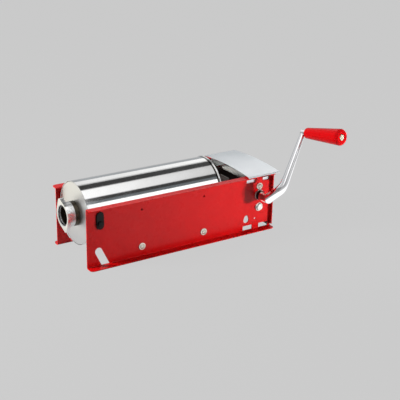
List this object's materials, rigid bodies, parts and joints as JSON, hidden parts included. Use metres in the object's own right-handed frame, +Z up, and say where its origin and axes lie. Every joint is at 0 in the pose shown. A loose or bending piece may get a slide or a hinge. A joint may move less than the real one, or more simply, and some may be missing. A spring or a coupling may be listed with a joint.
{
  "type": "sausage stuffer",
  "caption": "Horizontal hand-cranked meat press: a steel cylinder between red side panels, its piston driven by a rack and a geared crank.",
  "frame": {"origin": "centre of the machine's bounding box in X and Y, on the surface that the side panels rest on", "axes": "+X from the outlet towards the gear case, -Y towards the crank side, +Z up"},
  "size_m": [0.5816, 0.3224, 0.2658],
  "materials": {
    "painted_red": "semi-gloss",
    "polished_steel": "polished",
    "cover_steel": "satin",
    "zinc_steel": "plated",
    "gear_steel": "machined",
    "chrome": "chrome plated",
    "white_nylon": "matte",
    "black_nylon": "matte",
    "silicone": "matte",
    "grip_red": "gloss",
    "cream_plastic": "matte"
  },
  "bodies": {
    "frame": {"near_side_panel": "painted_red", "far_side_panel": "painted_red", "front_cradle": "painted_red", "rear_cradle": "painted_red", "gearbox_bulkhead": "gear_steel", "rear_plate": "gear_steel", "front_bolt_near": "zinc_steel", "front_bolt_far": "zinc_steel", "rear_bolt_near": "zinc_steel", "rear_bolt_far": "zinc_steel", "guide_bolt_near": "zinc_steel", "guide_bolt_far": "zinc_steel", "front_nut_near": "zinc_steel", "front_nut_far": "zinc_steel", "rear_nut_near": "zinc_steel", "rear_nut_far": "zinc_steel", "front_rack_bush": "white_nylon", "rear_rack_bush": "white_nylon", "top_cover": "cover_steel", "rack_guide": "white_nylon", "main_bush_near": "white_nylon", "main_bush_far": "white_nylon", "slow_bush_near": "white_nylon", "slow_bush_far": "white_nylon", "cylinder_tube": "polished_steel", "front_cap": "polished_steel", "trunnion_sleeve_near": "black_nylon", "trunnion_sleeve_far": "black_nylon", "trunnion_pin_near": "black_nylon", "trunnion_pin_far": "black_nylon"},
    "ring_nut": {"outlet_ring_nut": "polished_steel"},
    "piston_group": {"piston": "white_nylon", "piston_seal": "silicone", "piston_nut": "polished_steel", "rack": "gear_steel"},
    "valve": {"air_valve": "silicone"},
    "drive": {"main_shaft": "gear_steel", "large_gear": "gear_steel", "shaft_collar": "black_nylon", "main_shaft_clip": "gear_steel", "crank_arm": "chrome", "grip_pin": "chrome"},
    "handle": {"grip": "grip_red", "grip_cap": "cream_plastic"},
    "slow_drive": {"slow_shaft": "gear_steel", "slow_shaft_clip": "gear_steel", "slow_socket_plug": "white_nylon"}
  },
  "joints": [
    {"name": "piston_slide", "type": "slide", "parent": "frame", "child": "piston_group", "axis": [1, 0, 0], "range_m": [0, 0.332]},
    {"name": "crank_turn", "type": "hinge", "parent": "frame", "child": "drive", "pos_m": [0.17181, 0.06904, 0.08443], "axis": [0, 1, 0], "range_deg": [0, 1522]},
    {"name": "slow_shaft_turn", "type": "hinge", "parent": "frame", "child": "slow_drive", "pos_m": [0.17181, 0.06904, 0.05443], "axis": [0, -1, 0], "range_deg": [0, 3552]},
    {"name": "grip_spin", "type": "hinge", "parent": "drive", "child": "handle", "pos_m": [0.26149, -0.04115, 0.22964], "axis": [0.0967, -0.9829, 0.1565], "continuous": true},
    {"name": "ring_nut_turn", "type": "hinge", "parent": "frame", "child": "ring_nut", "pos_m": [-0.26279, 0.06904, 0.1002], "axis": [-1, 0, 0], "continuous": true},
    {"name": "air_valve_slide", "type": "slide", "parent": "piston_group", "child": "valve", "axis": [-1, 0, 0], "range_m": [0, 0.003]}
  ],
  "couplings": [
    {"joint": "crank_turn", "follows": "piston_slide", "rad_per_m": 80},
    {"joint": "slow_shaft_turn", "follows": "piston_slide", "rad_per_m": 186.67}
  ]
}
